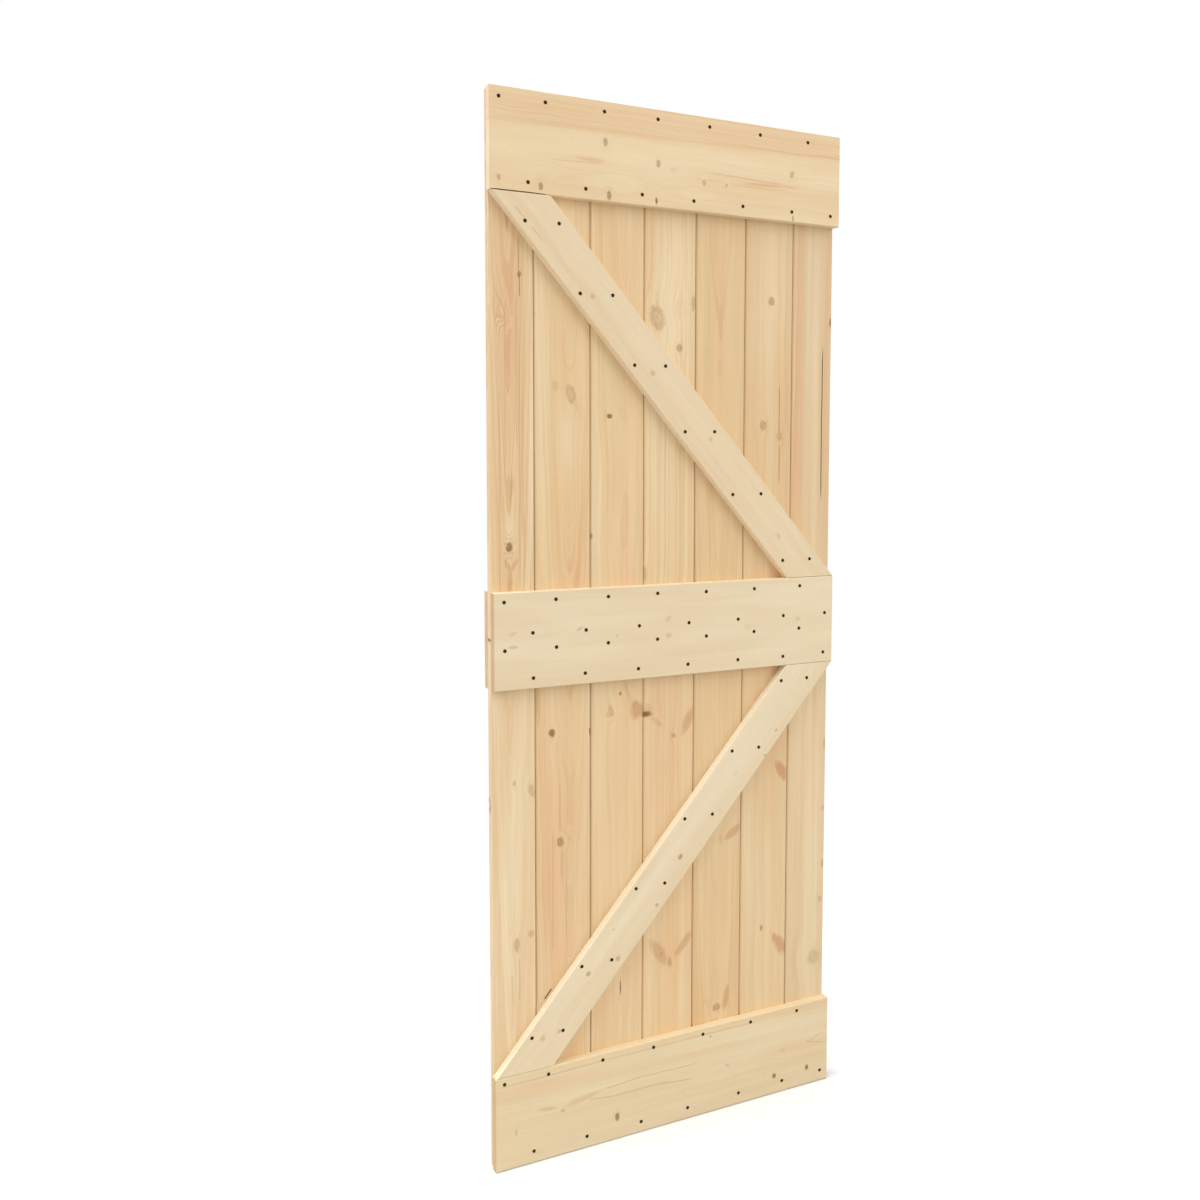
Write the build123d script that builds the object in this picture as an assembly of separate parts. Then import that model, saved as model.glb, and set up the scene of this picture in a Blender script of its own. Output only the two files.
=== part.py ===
from build123d import *
import math
import os

# Plank door leaf for a sliding door: seven upright tongue-and-groove boards, held by three
# rails and two braces on the front and by one rail on the back.
# Frame: millimetres, +X to the right seen from the front, +Y towards the back, +Z up.
# The origin is the centre of the top rail's front face, where the hanging gear bolts on.

# Leaf
leaf_width = 800.0
leaf_height = 2100.0

# Boarding
board_thickness = 18.0
board_cover = 120.0  # width that a whole board shows between two joints
first_board_cover = 92.0  # the board at the left edge is ripped to this
narrowest_strip = 30.0  # no strip narrower than this is left at the right edge
rail_overhang = 3.0  # how far the top and bottom rails run past the boarding

# Tongue and groove with a V at each joint
tongue_thickness = 6.0
tongue_length = 7.0
tongue_lead = 1.0  # bevel on the tongue's tip
cheek_clearance = 0.2  # beside the tongue, on each face
tip_clearance = 1.0  # between the tongue's tip and the bottom of the groove
shoulder_gap = 1.0  # between the shoulders of two boards
vee_bevel = 2.5  # bevel on each board's edge that makes half of the V

# Rails
rail_thickness = 18.0
top_rail_height = 190.0
middle_rail_height = 190.0
bottom_rail_height = 190.0
middle_rail_foot = 962.0  # lower edge of the middle rails above the foot of the leaf
back_rail_thickness = 18.0

# Braces
brace_width = 90.0
brace_thickness = 18.0
brace_end_gap = 0.5  # between a brace's end and the edge of the rail

# Planed edges
arris_radius = 1.5  # on the outer face of rails and braces
edge_bevel = 1.0  # on the outer edges of the boarding

# Levels across the thickness, from the front face of the rails
board_front = rail_thickness
board_back = board_front + board_thickness

# Levels up the leaf
leaf_top = top_rail_height / 2
leaf_foot = leaf_top - leaf_height
top_rail_foot = leaf_top - top_rail_height
middle_foot = leaf_foot + middle_rail_foot
middle_top = middle_foot + middle_rail_height
bottom_rail_top = leaf_foot + bottom_rail_height

# Sides
rail_left = -leaf_width / 2
rail_right = leaf_width / 2
boarding_left = rail_left + rail_overhang
boarding_right = rail_right - rail_overhang


def joint_lines():
    # Centre lines of the joints between boards, from the left.
    lines = [boarding_left + first_board_cover]
    while boarding_right - lines[-1] > board_cover + narrowest_strip:
        lines.append(lines[-1] + board_cover)
    return lines


def board_profile(left, right, has_groove, has_tongue):
    # Section of one board. Its left edge has the groove and its right edge the tongue,
    # except on the two ripped edges at the sides of the leaf.
    left_face = left + shoulder_gap / 2 if has_groove else left
    right_face = right - shoulder_gap / 2 if has_tongue else right
    width = right_face - left_face
    middle = (board_front + board_back) / 2
    profile = Pos((left_face + right_face) / 2, middle) * Rectangle(width, board_thickness)
    left_corners = profile.vertices().group_by(Axis.X)[0]
    profile = chamfer(left_corners, vee_bevel if has_groove else edge_bevel)
    right_corners = profile.vertices().group_by(Axis.X)[-1]
    if has_tongue:
        right_corners = profile.vertices().filter_by(lambda v: abs(v.X - right_face) < 1e-6)
    profile = chamfer(right_corners, vee_bevel if has_tongue else edge_bevel)
    if has_groove:
        depth = tongue_length - shoulder_gap + tip_clearance
        groove = Rectangle(depth, tongue_thickness + 2 * cheek_clearance)
        profile -= Pos(left_face + depth / 2, middle) * groove
    if has_tongue:
        tongue = Rectangle(tongue_length, tongue_thickness)
        tongue = chamfer(tongue.vertices().group_by(Axis.X)[-1], tongue_lead)
        profile += Pos(right_face + tongue_length / 2, middle) * tongue
    return profile


def board(left, right, has_groove, has_tongue):
    profile = board_profile(left, right, has_groove, has_tongue)
    return extrude(Plane.XY.offset(leaf_foot) * profile, amount=leaf_height)


def plank(corners, front, thickness, outer_face):
    # Flat timber in the plane of the leaf, from the corners (x, z) of its outline.
    # outer_face is 0 for the face at the front and -1 for the face at the back.
    outline = make_face(Polyline(*corners, close=True))
    solid = extrude(Plane.XZ.offset(-front - thickness) * outline, amount=thickness)
    return fillet(solid.faces().sort_by(Axis.Y)[outer_face].edges(), arris_radius)


def rail(left, right, foot, top, front=0.0, thickness=rail_thickness, outer_face=0):
    corners = [(left, foot), (right, foot), (right, top), (left, top)]
    return plank(corners, front, thickness, outer_face)


def brace(left_rail, right_rail):
    # Slanting timber from the left edge of the boarding to its right edge. Its ends are cut
    # level, a hairline short of the rail edges at left_rail and right_rail.
    fall = 1 if left_rail > right_rail else -1
    left_level = left_rail - fall * brace_end_gap
    right_level = right_rail + fall * brace_end_gap
    span = boarding_right - boarding_left
    rise = abs(left_level - right_level)
    # A level cut of this length gives brace_width square to the brace.
    reach = rise**2 - brace_width**2
    root = brace_width**2 * span**2 + reach * (span**2 + rise**2)
    cut = brace_width * (math.sqrt(root) - brace_width * span) / reach
    corners = [
        (boarding_left, left_level),
        (boarding_left + cut, left_level),
        (boarding_right, right_level),
        (boarding_right - cut, right_level),
    ]
    return plank(corners, board_front - brace_thickness, brace_thickness, 0)


def build():
    nodes = {}
    edges = [boarding_left, *joint_lines(), boarding_right]
    last = len(edges) - 2
    for i in range(last + 1):
        nodes[f"board_{i + 1}"] = board(edges[i], edges[i + 1], i > 0, i < last)
    nodes["top_rail"] = rail(rail_left, rail_right, top_rail_foot, leaf_top)
    nodes["middle_rail"] = rail(boarding_left, boarding_right, middle_foot, middle_top)
    nodes["bottom_rail"] = rail(rail_left, rail_right, leaf_foot, bottom_rail_top)
    nodes["upper_brace"] = brace(top_rail_foot, middle_top)
    nodes["lower_brace"] = brace(bottom_rail_top, middle_foot)
    nodes["back_middle_rail"] = rail(
        boarding_left, boarding_right, middle_foot, middle_top, board_back, back_rail_thickness, -1
    )
    return nodes


os.makedirs("parts", exist_ok=True)
for name, solid in build().items():
    export_step(solid, f"parts/{name}.step")
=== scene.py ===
import bpy
import math
import random
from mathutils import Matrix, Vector


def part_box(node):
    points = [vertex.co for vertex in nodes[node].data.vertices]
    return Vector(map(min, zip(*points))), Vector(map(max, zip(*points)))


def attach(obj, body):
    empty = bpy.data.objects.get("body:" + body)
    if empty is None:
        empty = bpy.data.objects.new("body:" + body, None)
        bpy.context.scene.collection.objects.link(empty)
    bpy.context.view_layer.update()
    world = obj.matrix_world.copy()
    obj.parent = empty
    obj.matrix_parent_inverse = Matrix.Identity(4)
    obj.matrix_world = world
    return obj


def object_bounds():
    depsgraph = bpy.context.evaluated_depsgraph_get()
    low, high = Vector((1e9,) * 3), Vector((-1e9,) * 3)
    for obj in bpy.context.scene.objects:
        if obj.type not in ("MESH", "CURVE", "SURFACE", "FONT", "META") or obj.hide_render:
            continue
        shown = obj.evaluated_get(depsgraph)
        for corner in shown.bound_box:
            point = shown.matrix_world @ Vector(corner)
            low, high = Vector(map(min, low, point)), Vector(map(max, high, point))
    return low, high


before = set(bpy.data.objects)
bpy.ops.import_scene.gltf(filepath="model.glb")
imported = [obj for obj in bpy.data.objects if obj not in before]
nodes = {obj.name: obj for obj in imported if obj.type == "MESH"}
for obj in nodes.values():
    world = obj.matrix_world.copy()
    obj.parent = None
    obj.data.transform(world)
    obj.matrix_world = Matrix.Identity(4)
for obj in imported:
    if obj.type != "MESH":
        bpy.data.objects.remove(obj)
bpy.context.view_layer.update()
print("frame loaded:", len(nodes), "timbers")

# Camera at the photograph's viewing angle
cameraSettings = {
    "place": (-1.119, -1.993, -0.605),  # metres, in the door's own frame
    "azimuth": -25.4,  # degrees round from straight in front
    "elevation": 3.94,  # degrees above level
    "lens": 33.4,
    "shiftUp": -0.05,
}


def towards(settings):
    # unit vector from the door towards a camera or lamp
    azimuth = math.radians(settings["azimuth"])
    elevation = math.radians(settings["elevation"])
    level = math.cos(elevation)
    return Vector((math.sin(azimuth) * level, -math.cos(azimuth) * level, math.sin(elevation)))


def makeCamera(settings):
    data = bpy.data.cameras.new("photographCamera")
    data.lens = settings["lens"]
    data.shift_y = settings["shiftUp"]
    camera = bpy.data.objects.new("photographCamera", data)
    bpy.context.scene.collection.objects.link(camera)
    camera.location = settings["place"]
    camera.rotation_mode = "QUATERNION"
    camera.rotation_quaternion = (-towards(settings)).to_track_quat("-Z", "Y")
    bpy.context.scene.camera = camera


makeCamera(cameraSettings)
bpy.context.scene.view_settings.view_transform = "Standard"
print("camera placed")

# Where the timbers are, read from the frame
boardCount = sum(name.startswith("board_") for name in nodes)
boardBoxes = [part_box(f"board_{i + 1}") for i in range(boardCount)]
leafLow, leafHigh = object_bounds()
leafTop = leafHigh.z
leafFoot = leafLow.z
boardFront = boardBoxes[0][0].y
boardingLeft = boardBoxes[0][0].x
boardingRight = boardBoxes[-1][1].x
tongueReach = 0.0065  # a box's right side is the tongue's tip, this far past the joint
jointLines = [box[1].x - tongueReach for box in boardBoxes[:-1]]
boardEdges = [boardingLeft, *jointLines, boardingRight]


# Small helpers for building node trees
def feed(tree, socket, value):
    # a socket is linked in, anything else is set as the value
    if value is None:
        return
    if isinstance(value, bpy.types.NodeSocket):
        tree.links.new(value, socket)
    else:
        socket.default_value = value


def calc(tree, operation, first, second=None, third=None):
    node = tree.nodes.new("ShaderNodeMath")
    node.operation = operation
    for socket, value in zip(node.inputs, (first, second, third)):
        feed(tree, socket, value)
    return node.outputs[0]


def vectorCalc(tree, operation, first, second=None, scale=None):
    node = tree.nodes.new("ShaderNodeVectorMath")
    node.operation = operation
    feed(tree, node.inputs[0], first)
    feed(tree, node.inputs[1], second)
    if scale is not None:
        feed(tree, node.inputs["Scale"], scale)
    return node.outputs["Value" if operation in ("LENGTH", "DOT_PRODUCT") else "Vector"]


def ramp(tree, value, low, high, start=0.0, end=1.0):
    # goes smoothly from start to end while value goes from low to high
    node = tree.nodes.new("ShaderNodeMapRange")
    node.interpolation_type = "SMOOTHSTEP"
    for title, setting in (("Value", value), ("From Min", low), ("From Max", high),
                           ("To Min", start), ("To Max", end)):
        feed(tree, node.inputs[title], setting)
    return node.outputs["Result"]


def noise(tree, vector, scale, detail=2.0, roughness=0.5):
    node = tree.nodes.new("ShaderNodeTexNoise")
    feed(tree, node.inputs["Vector"], vector)
    for title, setting in (("Scale", scale), ("Detail", detail), ("Roughness", roughness)):
        feed(tree, node.inputs[title], setting)
    return node.outputs["Fac"]


def drawnNoise(tree, place, waves, detail=2.0, roughness=0.5):
    # noise drawn out along the grain, given its waves to the metre along each axis
    return noise(tree, vectorCalc(tree, "MULTIPLY", place, waves), 1.0, detail, roughness)


def seededNoise(tree, dimensions, **values):
    node = tree.nodes.new("ShaderNodeTexNoise")
    node.noise_dimensions = dimensions
    for title, value in values.items():
        feed(tree, node.inputs[title], value)
    return node.outputs


def swing(tree, value, amount, middle):
    # noise, which runs from 0 to 1, made to swing round the middle
    return calc(tree, "MULTIPLY_ADD", calc(tree, "SUBTRACT", value, 0.5), amount, middle)


def limited(tree, value, high=1.0):
    return calc(tree, "MINIMUM", calc(tree, "MAXIMUM", value, 0.0), high)


def axes(tree, vector):
    node = tree.nodes.new("ShaderNodeSeparateXYZ")
    feed(tree, node.inputs[0], vector)
    return node.outputs


def blendColour(tree, factor, first, second, mode="MIX"):
    node = tree.nodes.new("ShaderNodeMix")
    node.data_type = "RGBA"
    node.blend_type = mode
    feed(tree, node.inputs["Factor"], factor)
    colours = [socket for socket in node.inputs if socket.type == "RGBA"]
    feed(tree, colours[0], first)
    feed(tree, colours[1], second)
    return [socket for socket in node.outputs if socket.type == "RGBA"][0]


anyPlace = (0.0, 0.0, 0.0)
anyColour = (0.8, 0.8, 0.8, 1.0)
socketKinds = {1: "NodeSocketFloat", 3: "NodeSocketVector", 4: "NodeSocketColor"}


def startGroup(name, inputs, outputs):
    # sockets by title, each with a starting value that also says of which kind it is
    group = bpy.data.node_groups.new(name, "ShaderNodeTree")
    for way, sockets in (("INPUT", inputs), ("OUTPUT", outputs)):
        for title, value in sockets.items():
            kind = socketKinds[len(value) if isinstance(value, tuple) else 1]
            socket = group.interface.new_socket(title, in_out=way, socket_type=kind)
            socket.default_value = value
    entry = group.nodes.new("NodeGroupInput").outputs
    leave = group.nodes.new("NodeGroupOutput").inputs
    return group, entry, leave


def placeGroup(tree, group, **values):
    node = tree.nodes.new("ShaderNodeGroup")
    node.node_tree = group
    for title, value in values.items():
        feed(tree, node.inputs[title], value)
    return node.outputs


# Studio: white surroundings, two soft far lamps and a pale floor
studio = {
    "fill": 0.665,  # strength of the surroundings on the timber
    "floorColour": (0.88, 0.88, 0.875, 1.0),
    "floorBounce": (0.5, 0.5, 0.5, 1.0),  # the same floor as the timber is lit by it
    "floorSize": 16.0,
    "floorDrop": 0.0015,  # below the foot of the leaf
    "fadeFrom": 0.35,  # metres from the leaf at which the floor starts to fade to white
    "fadeTo": 2.2,
    "floorRoughness": 0.9,
    "floorSpecular": 0.2,
    "lampDistance": 4.0,
}

lampSettings = {
    # degrees to the right of straight in front, above level and across
    "keyLamp": {"azimuth": 50.0, "elevation": 24.0, "softness": 50.0, "strength": 1.3},
    "leftLamp": {"azimuth": -84.0, "elevation": 52.0, "softness": 60.0, "strength": 2.4},
}


def seenDirectly(tree):
    # 1 for what the camera, a reflection or a see-through surface shows
    path = tree.nodes.new("ShaderNodeLightPath").outputs
    reflected = calc(tree, "MAXIMUM", path["Is Glossy Ray"], path["Is Transmission Ray"])
    return calc(tree, "MAXIMUM", path["Is Camera Ray"], reflected)


def makeSurroundings():
    world = bpy.data.worlds.new("whiteStudio")
    world.use_nodes = True
    tree = world.node_tree
    background = tree.nodes["Background"]
    background.inputs["Color"].default_value = (1.0, 1.0, 1.0, 1.0)
    seen = seenDirectly(tree)
    strength = ramp(tree, seen, 0.0, 1.0, studio["fill"], 1.0)
    tree.links.new(strength, background.inputs["Strength"])
    bpy.context.scene.world = world


def makeLamp(name, settings):
    data = bpy.data.lights.new(name, "SUN")
    data.energy = settings["strength"]
    data.angle = math.radians(settings["softness"])
    lamp = bpy.data.objects.new(name, data)
    bpy.context.scene.collection.objects.link(lamp)
    source = towards(settings)
    lamp.rotation_euler = (-source).to_track_quat("-Z", "Y").to_euler()
    lamp.location = source * studio["lampDistance"]


def makeFloor():
    bpy.ops.object.select_all(action="DESELECT")
    bpy.ops.mesh.primitive_plane_add(size=studio["floorSize"])
    floor = bpy.context.object
    floor.name = "floor"
    floor.location = (0.0, 0.0, leafFoot - studio["floorDrop"])
    bpy.ops.object.transform_apply(location=True)
    material = bpy.data.materials.new("paleFloor")
    material.use_nodes = True
    tree = material.node_tree
    shader = tree.nodes["Principled BSDF"]
    seen = seenDirectly(tree)
    floorColour = blendColour(tree, seen, studio["floorBounce"], studio["floorColour"])
    tree.links.new(floorColour, shader.inputs["Base Color"])
    shader.inputs["Roughness"].default_value = studio["floorRoughness"]
    shader.inputs["Specular IOR Level"].default_value = studio["floorSpecular"]
    white = tree.nodes.new("ShaderNodeEmission")
    place = tree.nodes.new("ShaderNodeTexCoord").outputs["Object"]
    flat = vectorCalc(tree, "MULTIPLY", place, (1.0, 1.0, 0.0))
    far = ramp(tree, vectorCalc(tree, "LENGTH", flat), studio["fadeFrom"], studio["fadeTo"])
    mix = tree.nodes.new("ShaderNodeMixShader")
    tree.links.new(calc(tree, "MULTIPLY", far, seen), mix.inputs[0])
    tree.links.new(shader.outputs[0], mix.inputs[1])
    tree.links.new(white.outputs[0], mix.inputs[2])
    tree.links.new(mix.outputs[0], tree.nodes["Material Output"].inputs["Surface"])
    floor.data.materials.append(material)


makeSurroundings()
for lampName, lampValues in lampSettings.items():
    makeLamp(lampName, lampValues)
makeFloor()
print("studio lit")


# Timber patterns. Every one works in the timber's own axes: X along the grain, Y into the
# depth from the planed face, Z across the face, in metres. Waves are counted to the metre, and
# a mark's reach is 1 at its outline.
def turnedOffset(tree, given):
    # the place measured from a mark's centre, with X laid along the mark
    node = tree.nodes.new("ShaderNodeVectorRotate")
    node.rotation_type = "Y_AXIS"
    offset = vectorCalc(tree, "SUBTRACT", given["Place"], given["Centre"])
    feed(tree, node.inputs["Vector"], offset)
    feed(tree, node.inputs["Angle"], given["Turn"])
    return node.outputs["Vector"]


def inSizes(tree, given):
    return vectorCalc(tree, "DIVIDE", turnedOffset(tree, given), given["Size"])


def bell(tree, distance, width):
    # 1 at nothing, falling softly to 0
    scaled = calc(tree, "DIVIDE", distance, width)
    squared = calc(tree, "MULTIPLY", scaled, scaled)
    return calc(tree, "EXPONENT", calc(tree, "MULTIPLY", squared, -1.0))


knotShape = {
    "outlineWaves": 150.0,
    "gritWaves": 380.0,  # in its heart
    "breakWaves": 170.0,  # in its dark ring
    "heartRings": 13.0,
    "heartEdge": (1.15, 0.55),  # where it starts and is full
    "ringReach": 0.9,
    "ringWidth": 0.28,
    "partingReach": 2.4,  # out to where the grain parts round it
    "parting": -0.7,
    "lift": 0.007,  # metres by which it bends the growth rings
    "stirReach": 2.0,  # out to where the growth rings are darker
}


def makeKnotGroup():
    # one knot: the grain parts round it, and its heart and dark ring are added to those before it
    tree, given, out = startGroup("knot", {
        "Place": anyPlace, "Grain": anyPlace, "Lift": 0.0, "Heart": 0.0, "Rim": 0.0, "Stir": 0.0,
        "Centre": anyPlace, "Size": (0.01, 0.1, 0.01), "Turn": 0.0, "Core": 1.0, "Ring": 1.0,
    }, {"Grain": anyPlace, "Lift": 0.0, "Heart": 0.0, "Rim": 0.0, "Stir": 0.0})
    shape = knotShape
    outline = noise(tree, given["Place"], shape["outlineWaves"], 3.0, 0.65)
    distance = swing(tree, outline, 1.0, vectorCalc(tree, "LENGTH", inSizes(tree, given)))
    inside = ramp(tree, distance, *shape["heartEdge"])
    grit = noise(tree, given["Place"], shape["gritWaves"])
    rings = calc(tree, "SINE", calc(tree, "MULTIPLY", distance, shape["heartRings"]))
    rings = calc(tree, "MULTIPLY_ADD", rings, 0.18, 0.6)
    rings = calc(tree, "MULTIPLY_ADD", grit, 0.6, rings)
    heart = calc(tree, "MULTIPLY", calc(tree, "MULTIPLY", inside, rings), given["Core"])
    broken = noise(tree, given["Place"], shape["breakWaves"], 1.0)
    broken = calc(tree, "MULTIPLY_ADD", broken, 1.3, 0.3)
    rim = bell(tree, calc(tree, "SUBTRACT", distance, shape["ringReach"]), shape["ringWidth"])
    rim = calc(tree, "MULTIPLY", calc(tree, "MULTIPLY", rim, given["Ring"]), broken)
    near = bell(tree, distance, shape["partingReach"])
    offset = vectorCalc(tree, "SUBTRACT", given["Place"], given["Centre"])
    sideways = vectorCalc(tree, "MULTIPLY", offset, (0.0, 0.0, 1.0))
    parting = calc(tree, "MULTIPLY", near, shape["parting"])
    parted = vectorCalc(tree, "SCALE", sideways, scale=parting)
    feed(tree, out["Grain"], vectorCalc(tree, "ADD", given["Grain"], parted))
    feed(tree, out["Lift"], calc(tree, "MULTIPLY_ADD", near, shape["lift"], given["Lift"]))
    feed(tree, out["Heart"], calc(tree, "MAXIMUM", given["Heart"], heart))
    feed(tree, out["Rim"], calc(tree, "MAXIMUM", given["Rim"], rim))
    weight = calc(tree, "MINIMUM", calc(tree, "ADD", given["Core"], given["Ring"]), 1.0)
    stir = calc(tree, "MULTIPLY", bell(tree, distance, shape["stirReach"]), weight)
    feed(tree, out["Stir"], calc(tree, "MAXIMUM", given["Stir"], stir))
    return tree


flushShape = {
    "waves": (6.0, 60.0, 110.0),
    "uneven": 0.9,
    "softness": 0.9,
}


def makeFlushGroup():
    # a soft patch of redder heartwood, or of paler sapwood where its strength is below nothing
    tree, given, out = startGroup("heartwoodFlush", {
        "Place": anyPlace, "Redness": 0.0, "Centre": anyPlace, "Size": (0.2, 0.1, 0.03),
        "Turn": 0.0, "Strength": 0.5,
    }, {"Redness": 0.0})
    distance = vectorCalc(tree, "LENGTH", inSizes(tree, given))
    streaked = drawnNoise(tree, given["Place"], flushShape["waves"], 3.0, 0.6)
    distance = swing(tree, streaked, flushShape["uneven"], distance)
    patch = bell(tree, distance, flushShape["softness"])
    redness = calc(tree, "MULTIPLY_ADD", patch, given["Strength"], given["Redness"])
    feed(tree, out["Redness"], redness)
    return tree


flareShape = {
    "waves": (45.0, 90.0, 130.0),
    "fineWaves": (70.0, 400.0, 600.0),
    "uneven": 1.1,
    "edge": (1.3, 0.55),  # where it starts and is full
    "narrowest": 0.15,  # of its width, at its narrow end
}


def makeFlareGroup():
    # the brown flare of a branch: evenly dark, wider towards one end and broken by the grain
    tree, given, out = startGroup("branchFlare", {
        "Place": anyPlace, "Flare": 0.0, "Centre": anyPlace, "Size": (0.02, 0.1, 0.01),
        "Turn": 0.0, "Strength": 0.6, "Widening": 0.0,
    }, {"Flare": 0.0})
    along, depth, across = axes(tree, inSizes(tree, given))
    width = calc(tree, "MULTIPLY_ADD", along, given["Widening"], 1.0)
    across = calc(tree, "DIVIDE", across, calc(tree, "MAXIMUM", width, flareShape["narrowest"]))
    squares = calc(tree, "MULTIPLY_ADD", across, across, calc(tree, "MULTIPLY", along, along))
    streaked = drawnNoise(tree, given["Place"], flareShape["waves"], 3.0, 0.6)
    distance = swing(tree, streaked, flareShape["uneven"], calc(tree, "SQRT", squares))
    patch = ramp(tree, distance, *flareShape["edge"])
    patch = calc(tree, "MULTIPLY", patch, given["Strength"])
    fine = drawnNoise(tree, given["Place"], flareShape["fineWaves"])
    patch = calc(tree, "MULTIPLY", patch, calc(tree, "MULTIPLY_ADD", fine, 0.7, 0.65))
    feed(tree, out["Flare"], calc(tree, "MAXIMUM", given["Flare"], patch))
    return tree


crackAndShadeShape = {
    "waves": (14.0, 1.0, 1.0),
    "jog": 0.003,  # metres that it wanders sideways
}


def makeCrackGroup():
    # draws a fine drying crack, a dark grain line, and also a line of painted shade; each is widest
    # in the middle and closed at both ends
    tree, given, out = startGroup("dryingCrack", {
        "Place": anyPlace, "Crack": 0.0, "Centre": anyPlace, "Half Length": 0.1,
        "Half Width": 0.0008, "Turn": 0.0, "Softness": 0.0003,
    }, {"Crack": 0.0})
    along, depth, across = axes(tree, turnedOffset(tree, given))
    jog = drawnNoise(tree, given["Place"], crackAndShadeShape["waves"], 3.0)
    across = swing(tree, jog, crackAndShadeShape["jog"], across)
    along = calc(tree, "DIVIDE", calc(tree, "ABSOLUTE", along), given["Half Length"])
    width = calc(tree, "MULTIPLY", ramp(tree, along, 1.0, 0.75), given["Half Width"])
    edge = calc(tree, "SUBTRACT", calc(tree, "ABSOLUTE", across), width)
    crackAndShadeLine = ramp(tree, edge, given["Softness"], -0.0001)
    crackAndShadeLine = calc(tree, "MULTIPLY", crackAndShadeLine, ramp(tree, along, 1.0, 0.9))
    feed(tree, out["Crack"], calc(tree, "MAXIMUM", given["Crack"], crackAndShadeLine))
    return tree


ringShape = {
    "driftWaves": 1.1,  # in the pith's wandering
    "rippleWaves": (4.0, 26.0, 26.0),
    "ripple": 0.003,  # metres
    "crowding": 2.4,  # how unevenly the rings are spaced
    "darkens": (0.15, 0.84),  # over this part of each ring's width
    "pales": (1.0, 0.9),
    "faintest": 0.15,  # late edge
}


def makeRingGroup():
    # growth rings round a wandering pith: pale early wood that darkens to a sharp late edge
    tree, given, out = startGroup("growthRings", {
        "Grain": anyPlace, "Lift": 0.0, "Pith": (0.0, 0.05, 0.0), "Ring Width": 0.006,
        "Taper": 0.015, "Wander": 0.006, "Seed": 0.0,
    }, {"Late": 0.0, "Band": 0.0})
    shape, seed = ringShape, given["Seed"]
    along, depth, across = axes(tree, given["Grain"])
    pith = axes(tree, given["Pith"])
    drift = calc(tree, "MULTIPLY_ADD", along, shape["driftWaves"], seed)
    drift = seededNoise(tree, "1D", W=drift, Detail=1.0)
    wander = vectorCalc(tree, "SUBTRACT", drift["Color"], (0.5, 0.5, 0.5))
    wander = vectorCalc(tree, "SCALE", wander, scale=calc(tree, "MULTIPLY", given["Wander"], 2.0))
    shift = axes(tree, wander)
    sideways = calc(tree, "ADD", calc(tree, "SUBTRACT", across, pith[2]), shift[2])
    inwards = calc(tree, "ADD", calc(tree, "SUBTRACT", depth, pith[1]), shift[1])
    squares = calc(tree, "ADD", calc(tree, "MULTIPLY", sideways, sideways),
                   calc(tree, "MULTIPLY", inwards, inwards))
    radius = calc(tree, "MULTIPLY_ADD", along, given["Taper"], calc(tree, "SQRT", squares))
    waves = vectorCalc(tree, "MULTIPLY", given["Grain"], shape["rippleWaves"])
    ripple = seededNoise(tree, "4D", Vector=waves, W=seed, Scale=1.0, Detail=3.0)
    radius = swing(tree, ripple["Fac"], shape["ripple"], radius)
    count = calc(tree, "DIVIDE", calc(tree, "ADD", radius, given["Lift"]), given["Ring Width"])
    crowd = seededNoise(tree, "1D", W=calc(tree, "MULTIPLY_ADD", count, 0.37, seed))
    count = calc(tree, "MULTIPLY_ADD", crowd["Fac"], shape["crowding"], count)
    part = calc(tree, "FRACT", count)
    late = ramp(tree, part, *shape["darkens"])
    late = calc(tree, "MULTIPLY", late, ramp(tree, part, *shape["pales"]))
    which = tree.nodes.new("ShaderNodeTexWhiteNoise")
    which.noise_dimensions = "1D"
    feed(tree, which.inputs["W"], calc(tree, "ADD", calc(tree, "FLOOR", count), seed))
    faintest = shape["faintest"]
    strength = calc(tree, "MULTIPLY_ADD", which.outputs["Value"], 1.0 - faintest, faintest)
    feed(tree, out["Late"], calc(tree, "MULTIPLY", late, strength))
    spot = tree.nodes.new("ShaderNodeCombineXYZ")
    feed(tree, spot.inputs[0], calc(tree, "MULTIPLY_ADD", count, 0.45, seed))
    feed(tree, spot.inputs[1], calc(tree, "MULTIPLY", along, 0.8))
    feed(tree, out["Band"], noise(tree, spot.outputs[0], 1.0))
    return tree


fibreWaves = {
    "fine": (8.0, 600.0, 600.0),
    "middle": (2.2, 190.0, 190.0),
    "broad": (0.9, 60.0, 60.0),
    "ducts": (50.0, 1500.0, 1500.0),
    "clouds": (3.0, 18.0, 18.0),
}


def makeFibreGroup():
    # long streaks in three widths, resin ducts as short dashes, and slow cloudy changes of tone
    tree, given, out = startGroup("planedFibre", {"Grain": anyPlace, "Seed": 0.0},
                                  {"Fibre": 0.5, "Duct": 0.0, "Cloud": 0.5})
    offset = tree.nodes.new("ShaderNodeCombineXYZ")
    feed(tree, offset.inputs[0], given["Seed"])
    moved = vectorCalc(tree, "ADD", given["Grain"], offset.outputs[0])
    fine = drawnNoise(tree, moved, fibreWaves["fine"], 3.0, 0.6)
    middle = drawnNoise(tree, moved, fibreWaves["middle"])
    broad = drawnNoise(tree, moved, fibreWaves["broad"], 1.0)
    streaks = calc(tree, "MULTIPLY_ADD", fine, 0.3, calc(tree, "MULTIPLY", middle, 0.4))
    feed(tree, out["Fibre"], calc(tree, "MULTIPLY_ADD", broad, 0.3, streaks))
    dash = drawnNoise(tree, moved, fibreWaves["ducts"], 0.0)
    feed(tree, out["Duct"], ramp(tree, dash, 0.72, 0.8))
    feed(tree, out["Cloud"], drawnNoise(tree, moved, fibreWaves["clouds"]))
    return tree


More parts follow.
